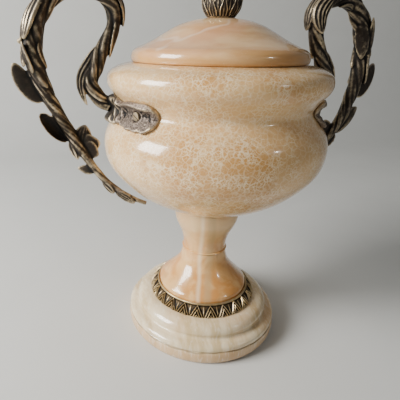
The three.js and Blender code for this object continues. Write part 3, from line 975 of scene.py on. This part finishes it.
def twisted_stems():
    rows, sides = 520, 84
    share = np.linspace(0, 1, rows)[:, None]
    part = np.arange(sides)[None, :] / sides
    strand = np.searchsorted(strand_edge, part, "right") - 1
    across = (part - strand_edge[strand]) / (strand_edge[strand + 1] - strand_edge[strand]) * 2 - 1
    breathing = 1 + 0.16 * np.sin(share * 40 + strand_phase[strand])
    arch = np.sqrt(np.clip(1 - across**2 * 0.97, 0, 1)) * strand_size[strand] * breathing
    arch = np.minimum(arch, 1.2)
    bark = 0.016 * np.cos(across * 8 + strand_phase[strand] * 3 + 4 * np.sin(share * 31))
    knots = 0.05 * np.sin(share * 83 + strand_phase[strand] * 5) * (1 - across**2)
    valley = 1 - 0.45 * smooth_step(0.48, 0.6, share) - 0.3 * smooth_step(0.68, 0.8, share)
    radius = vine_radius(share) * (1 + valley * (0.34 * arch - 0.34) + bark + knots)
    twist = part * 2 * math.pi + VINE_TWIST * 2 * math.pi * share
    place, along, outward, front = on_vine(share[:, 0])
    out = outward[:, None] * np.cos(twist)[..., None] + front[:, None] * np.sin(twist)[..., None]
    return lofted(place[:, None] + out * radius[..., None])


# %% [markdown]
# ## Leaves of the vine
# The leaves are long and ribbed, like sheaths of a reed. A leaf springs at a share of the vine,
# runs towards the tail or the neck, winds round the stems and lifts off towards its tip. Its
# section is a thin lens bent round the vine, with ribs along it and a toothed edge where the
# table asks for one. A leaf that is rolled stands edge-on to the vine, like a wing.


# %% A leaf
LATE, EARLY = 1.5, 0.6


def leaf(
    at, heading, turn, wind, length, width, peel, roll,
    lift=LATE, ribs=5, relief=0.55, teeth=0, cup=0.0, rim=0.0, thick=3.4, blunt=0.6,
):
    rows, columns = 44, 26
    side = np.linspace(-1, 1, columns)
    sections = []
    for run in np.linspace(0.004, 0.996, rows):
        share = np.clip(at + heading * run * length / VINE_LENGTH, 0, 1)
        place, along, outward, front = on_vine(share)
        around = math.radians(turn + wind * run)
        away = outward * math.cos(around) + front * math.sin(around)
        down = along * heading * length + away * lift * peel * max(run, 0.1) ** (lift - 1)
        down /= np.linalg.norm(down)
        flat = np.cross(down, away)
        flat /= np.linalg.norm(flat)
        top = np.cross(flat, down)
        rolled = math.radians(roll)
        across = flat * math.cos(rolled) + top * math.sin(rolled)
        face = np.cross(across, down)
        spread = math.sin(math.pi * run**0.85) ** blunt
        bite = 1 + (0.18 * ((run * teeth) % 1) - 0.09 if teeth else 0)
        half = 0.5 * width * spread * bite
        hug = (vine_radius(share) + 2 + peel) / max(math.cos(rolled), 0.18)
        bend = side * half / hug
        rib = relief * np.cos(side * ribs * math.pi) * min(1, spread * 1.2)
        body = 0.5 * thick * spread**0.5 * np.sqrt(1 - (0.97 * side) ** 2)
        lip = rim * np.exp(-(((np.abs(side) - 0.86) / 0.1) ** 2)) * min(1, spread * 1.2)
        curl = cup * (side**2 - 0.4) * half
        middle = place + away * (0.8 * vine_radius(share) + peel * run**lift)
        lateral = (hug * np.sin(bend))[:, None] * across
        drop = hug * (1 - np.cos(bend))
        upper = middle + lateral + (body + rib + lip + curl - drop)[:, None] * face
        lower = middle + lateral + (curl - body - drop)[:, None] * face
        sections.append(np.concatenate([upper, lower[::-1]]))
    return lofted(sections)


# %% [markdown]
# The table lists every leaf of the casting from the neck round to the tail. The columns are the
# leaf's place and heading, its angle round the vine and how it winds, its length and width, and
# how far it peels off and rolls. The rest says how it is cut.

# %% The leaves
LEAVES = [
    (0.15, -1, 160, 15, 56, 14, 8.5, 50, dict(ribs=3)),
    (0.23, -1, 50, -40, 44, 14, 3.5, 10, dict(ribs=1)),
    (0.305, -1, 35, -15, 46, 24, 5, 25, dict(teeth=6)),
    (0.29, -1, -80, -10, 44, 24, 4.5, 0, dict(relief=0.8)),
    (0.34, 1, 60, -30, 44, 22, 4, 0, {}),
    (0.385, -1, -150, 0, 32, 14, 5, 20, dict(ribs=3)),
    (0.4, 1, 0, 50, 50, 25, 4, 0, dict(relief=0.8)),
    (0.44, 1, -130, 0, 50, 18, 3, 0, dict(ribs=1)),
    (0.43, 1, 10, 10, 38, 11, 4, 10, dict(ribs=1)),
    (0.5, 1, 10, 10, 26, 15, 6, 20, dict(relief=0.9)),
    (0.5, 1, 150, 20, 32, 12, 3.5, 20, dict(ribs=1)),
    (0.575, -1, 45, 0, 34, 13, 6, 25, dict(relief=0, thick=4)),
    (0.54, 1, 60, 60, 32, 12, 2, 0, dict(ribs=1)),
    (0.535, -1, -45, 0, 45, 12, 7, 30, dict(ribs=1, rim=0.7)),
    (0.52, 1, -40, 10, 40, 18, 5, 10, dict(relief=0.9, teeth=6)),
    (0.635, -1, 0, 0, 44, 21, 15, 88, dict(lift=EARLY, relief=0, rim=0.35, thick=3.8, blunt=0.5)),
    (0.745, -1, 5, 0, 43, 20, 11.5, 78, dict(lift=EARLY, relief=0, rim=1.3, thick=3.0, blunt=0.42, cup=-0.7)),
    (0.775, -1, 178, 0, 21, 23, 15, 86, dict(relief=0.3, rim=0.4)),
    (0.765, 1, 178, 0, 13, 25, 20, 86, dict(relief=0.3, rim=0.4)),
    (0.765, 1, 176, 0, 25, 22, 10, 85, dict(relief=0.3, rim=0.4)),
    (0.745, 1, 10, 0, 25, 13, 6, 60, dict(ribs=2, teeth=4)),
    (0.845, -1, 0, 0, 16, 12, 13, 84, dict(relief=0.2)),
    (0.875, 1, 0, 30, 20, 14, 3.5, 40, dict(ribs=3, relief=0.8)),
    (0.915, 1, 15, 20, 28, 14, 2.5, 40, dict(relief=0.8, teeth=3)),
]
BERRY_AT, BERRY_OUT, BERRY_RADIUS = 0.508, 12.5, 2.8


def berry():
    """One round berry on the outer bend of the vine."""
    arc = np.radians(np.linspace(-90, 90, 13))
    outline = [(BERRY_RADIUS * math.cos(a), BERRY_RADIUS * math.sin(a)) for a in arc]
    outline[0], outline[-1] = (0, -BERRY_RADIUS), (0, BERRY_RADIUS)
    points, faces = turned(outline, 24)
    place, along, outward, front = on_vine(BERRY_AT)
    return np.array(points) + place + outward * BERRY_OUT + front * 2, faces


# %% [markdown]
# ## The plates on the neck
# The vine is held by two plates that wrap the neck, one to the front and one to the back, each
# with a screw. A plate swells into the root of the vine, has a rolled edge above, a thin lip
# below, a grainy field between and a round end. The screw sits in a sunk seat.

# %% Plates
PLATE_REACH = math.radians(43)
PLATE_HEIGHT = 313
PLATE_HALF = 15
SCREW_ANGLE = 29
HEAD_RADIUS = 4.8
SINK_DEPTH = 2.0


def plates():
    columns, rows = 260, 68
    run = np.linspace(-1, 1, columns)[:, None]
    tall = np.linspace(-1, 1, rows)[None, :]
    far = np.abs(run)
    past = np.clip((far - 0.84) / 0.16, 0, 1)
    half = PLATE_HALF * np.maximum(np.sqrt(1 - past**2), 0.08)
    half = half * (1 - 0.2 * np.exp(-(((far - 0.38) / 0.12) ** 2)))
    half = half * (1 + 0.04 * np.sin(far * 46) * (tall < 0) * smooth_step(0.15, 0.25, far))
    height = PLATE_HEIGHT + tall * half
    angle = run * PLATE_REACH
    boss = np.exp(-((run / 0.2) ** 2))
    inner = neck_radius(height) + 0.6
    edge = np.sqrt(np.clip(1 - np.abs(tall) ** 6, 0, 1)) * np.sqrt(np.clip(1 - past**4, 0, 1))
    swell = 5.2 + 7.4 * boss
    roll = 3.6 * np.exp(-(((tall - 0.68 + 0.1 * np.sin(far * 9)) / 0.17) ** 2)) * smooth_step(0.2, 0.34, far)
    roll = roll * (1 - smooth_step(0.86, 0.93, far))
    lip = 1.3 * np.exp(-(((tall + 0.84) / 0.1) ** 2)) * smooth_step(0.4, 0.5, far)
    end = 1.0 * np.exp(-(((far - 0.93) / 0.03) ** 2))
    field = -2.0 * np.exp(-(((tall + 0.05) / 0.5) ** 2)) * smooth_step(0.3, 0.45, far)
    scrolls = 2.2 * np.sin(far * 58 + 2 * tall) * np.cos(tall * 5.2 + far * 18)
    scrolls = scrolls * smooth_step(0.1, 0.18, far) * (1 - smooth_step(0.38, 0.5, far))
    grain = random.normal(0, 0.45, (columns, rows)) * smooth_step(0.15, 0.4, far)
    ring = neck_radius(PLATE_HEIGHT) * (far * PLATE_REACH - math.radians(SCREW_ANGLE))
    from_screw = np.hypot(ring, height - PLATE_HEIGHT)
    seat = 1 - smooth_step(HEAD_RADIUS + 0.3, HEAD_RADIUS + 1.4, from_screw)
    crater = 1.3 * np.exp(-(((from_screw - HEAD_RADIUS - 1.8) / 0.9) ** 2))
    outer_skin = swell + roll + lip + end + field + scrolls + grain + crater
    outer_skin = outer_skin * (1 - seat) + (5.2 - SINK_DEPTH) * seat
    outer = inner + 0.4 + outer_skin * edge
    sections = np.concatenate(
        [
            np.stack([-outer * np.cos(angle), -outer * np.sin(angle), height], -1),
            np.stack([-inner * np.cos(angle), -inner * np.sin(angle), height], -1)[:, ::-1],
        ],
        1,
    )
    return lofted(sections)


CASTING_VOXEL = 0.9


def cast_handle(name):
    shells = [twisted_stems(), plates(), berry()] + [leaf(*place, **cut) for *place, cut in LEAVES]
    return fused(name, shells, CASTING_VOXEL)


# %% [markdown]
# ## Both handles
# The two handles come from one mould, so the right one is the left one turned half round, plus
# the four degrees that it was fitted off the straight line. The mesh is made once, copied and
# turned about the urn's axis. The plates get an attribute of their own, because hands never
# polish them and they keep the dull grain of the sand.

# %% Handles
SKEW = 4
LEFT_TURN, RIGHT_TURN = 0, 180 + SKEW
PLATE_OUTERMOST = 131
casting = cast_handle("handle_cast")
places = mark_ridges(casting, 12, 0.55)
radius_here = np.hypot(places[:, 0], places[:, 1])
swing = np.abs(np.arctan2(places[:, 1], -places[:, 0]))
level = np.abs(places[:, 2] - PLATE_HEIGHT) < PLATE_HALF
on_plate = (radius_here < PLATE_OUTERMOST) * level * smooth_step(0.14, 0.3, swing)
store(casting, "plate", on_plate)
for side, angle in (("left", LEFT_TURN), ("right", RIGHT_TURN)):
    copy = casting.copy()
    copy.transform(Matrix.Rotation(math.radians(angle), 4, "Z"))
    piece_of(f"handle_{side}_cast", copy, f"handle_{side}", "dark_brass", CAST_CREASE)
bpy.data.meshes.remove(casting)

# %% [markdown]
# ## Screws
# Four slotted screws hold the plates. A screw is turned: a slightly domed head with an eased
# edge, and a plain shank. The slot is cut with a Boolean, as a saw cuts it, after the head is
# revolved.


# %% Screws
HEAD_HEIGHT = 2.6
SHANK_LENGTH = 12
SHANK_RADIUS = 2.4
PLATE_THICKNESS = 6.7
SLOT_HALF = (0.7, 7.0, 1.2)
SLOT_TURN = -25


def screw(name, node, angle):
    face = float(neck_radius(PLATE_HEIGHT)) + PLATE_THICKNESS - SINK_DEPTH + SEAT + HEAD_HEIGHT
    tip = -(HEAD_HEIGHT + SHANK_LENGTH)
    outline = [
        (0, tip), (2.0, tip), (SHANK_RADIUS, tip + 0.6), (SHANK_RADIUS, -HEAD_HEIGHT),
        (4.5, -HEAD_HEIGHT), (HEAD_RADIUS, -2.3), (HEAD_RADIUS, -0.9), (4.5, -0.35), (3.6, -0.1),
        (2, 0.05), (0, 0.1),
    ]
    points, faces = turned(outline, 40)
    body = bpy.data.meshes.new(name)
    body.from_pydata(points, [], faces)
    signs = (-1, 1)
    box = bpy.data.meshes.new(name + "_saw")
    across, along, deep = SLOT_HALF
    box_corners = [(x * across, y * along, z * deep) for x in signs for y in signs for z in signs]
    sides = [(0, 1, 3, 2), (4, 6, 7, 5), (0, 4, 5, 1), (2, 3, 7, 6), (0, 2, 6, 4), (1, 5, 7, 3)]
    box.from_pydata(box_corners, [], sides)
    box.transform(Matrix.Rotation(math.radians(SLOT_TURN), 4, "Z"))
    blank = bpy.data.objects.new(name + "_blank", body)
    saw = bpy.data.objects.new(name + "_saw", box)
    for made in (blank, saw):
        bpy.context.scene.collection.objects.link(made)
    cut = blank.modifiers.new("slot", "BOOLEAN")
    cut.operation = "DIFFERENCE"
    cut.object = saw
    graph = bpy.context.evaluated_depsgraph_get()
    mesh = bpy.data.meshes.new_from_object(blank.evaluated_get(graph))
    bpy.data.objects.remove(blank)
    bpy.data.objects.remove(saw)
    mesh.name = name
    out = Matrix.Rotation(math.radians(-90), 4, "Y")
    lift_up = Matrix.Translation((-face * MM, 0, PLATE_HEIGHT * MM))
    spin = Matrix.Rotation(math.radians(angle), 4, "Z")
    mesh.transform(spin @ lift_up @ out @ Matrix.Scale(MM, 4))
    store(mesh, "ridge", np.full(len(mesh.vertices), 0.5))
    return piece_of(name, mesh, node, "screw_brass", SCREW_CREASE)


SCREW_ENDS = {"left": ("front", "back"), "right": ("back", "front")}
for side, turned_by in (("left", LEFT_TURN), ("right", RIGHT_TURN)):
    for end, swing_by in zip(SCREW_ENDS[side], (SCREW_ANGLE, -SCREW_ANGLE)):
        screw(f"screw_{side}_{end}_turned", f"screw_{side}_{end}", turned_by + swing_by)

# %% [markdown]
# ## The studio
# The urn stands on a plain pale floor that curves up behind it, so there is no horizon. Two
# planes and a bevel could make it, but one strip drawn through a short profile is simpler.

# %% Floor and backdrop
FLOOR_FRONT, FLOOR_BACK, FLOOR_HALF_WIDTH = -1.6, 0.9, 3.0
BEND_RADIUS, BEND_STEPS = 0.5, 12
WALL_TOP = 2.2


def sweep():
    profile = [(FLOOR_FRONT, 0.0), (FLOOR_BACK, 0.0)]
    for i in range(1, BEND_STEPS + 1):
        angle = math.radians(90 * i / BEND_STEPS)
        depth = FLOOR_BACK + BEND_RADIUS * math.sin(angle)
        profile.append((depth, BEND_RADIUS * (1 - math.cos(angle))))
    profile.append((FLOOR_BACK + BEND_RADIUS, WALL_TOP))
    points = []
    for depth, height in profile:
        points += [(-FLOOR_HALF_WIDTH, depth, height), (FLOOR_HALF_WIDTH, depth, height)]
    faces = [(2 * i, 2 * i + 1, 2 * i + 3, 2 * i + 2) for i in range(len(profile) - 1)]
    mesh = bpy.data.meshes.new("floor")
    mesh.from_pydata(points, [], faces)
    mesh.shade_smooth()
    made = bpy.data.objects.new("floor", mesh)
    bpy.context.scene.collection.objects.link(made)
    paper = Finish("floor_paper")
    tone = paper.noise(paper.place(), 9.0, 2.0)
    made.data.materials.append(
        paper.finish(Base_Color=paper.mix(srgb(206, 206, 202), srgb(212, 212, 208), tone), Roughness=0.85)
    )


sweep()

# %% [markdown]
# ## The lights
# A soft window of light stands to the left, a wide weak fill comes from the front and above, and
# a small lamp on the right leaves the little glints that show how well the stone is polished. A
# sky picture could light it too, but three area lamps are easier to place and to explain.

# %% Lights
AIM = (0, 0, 0.25)


def lamp(name, place, size, power, colour):
    light = bpy.data.lights.new(name, "AREA")
    light.shape = "RECTANGLE"
    light.size, light.size_y = size
    light.energy = power
    light.color = colour
    made = bpy.data.objects.new(name, light)
    made.location = place
    made.rotation_euler = (Vector(AIM) - Vector(place)).to_track_quat("-Z", "Y").to_euler()
    bpy.context.scene.collection.objects.link(made)
    print("lamp:", name, "watts:", power)


lamp("window", (-1.58, -0.22, 0.98), (0.8, 0.8), 68, (1.0, 0.99, 0.97))
lamp("fill", (-0.3, -1.8, 1.9), (1.8, 1.2), 1.6, (1.0, 0.99, 0.98))
lamp("glint", (1.2, -1.1, 1.1), (0.16, 0.05), 1.5, (1.0, 0.98, 0.95))

world = bpy.data.worlds.new("studio")
world.use_nodes = True
sky = world.node_tree.nodes["Background"].inputs
sky["Color"].default_value = (0.86, 0.90, 0.92, 1)
sky["Strength"].default_value = 0.16
bpy.context.scene.world = world
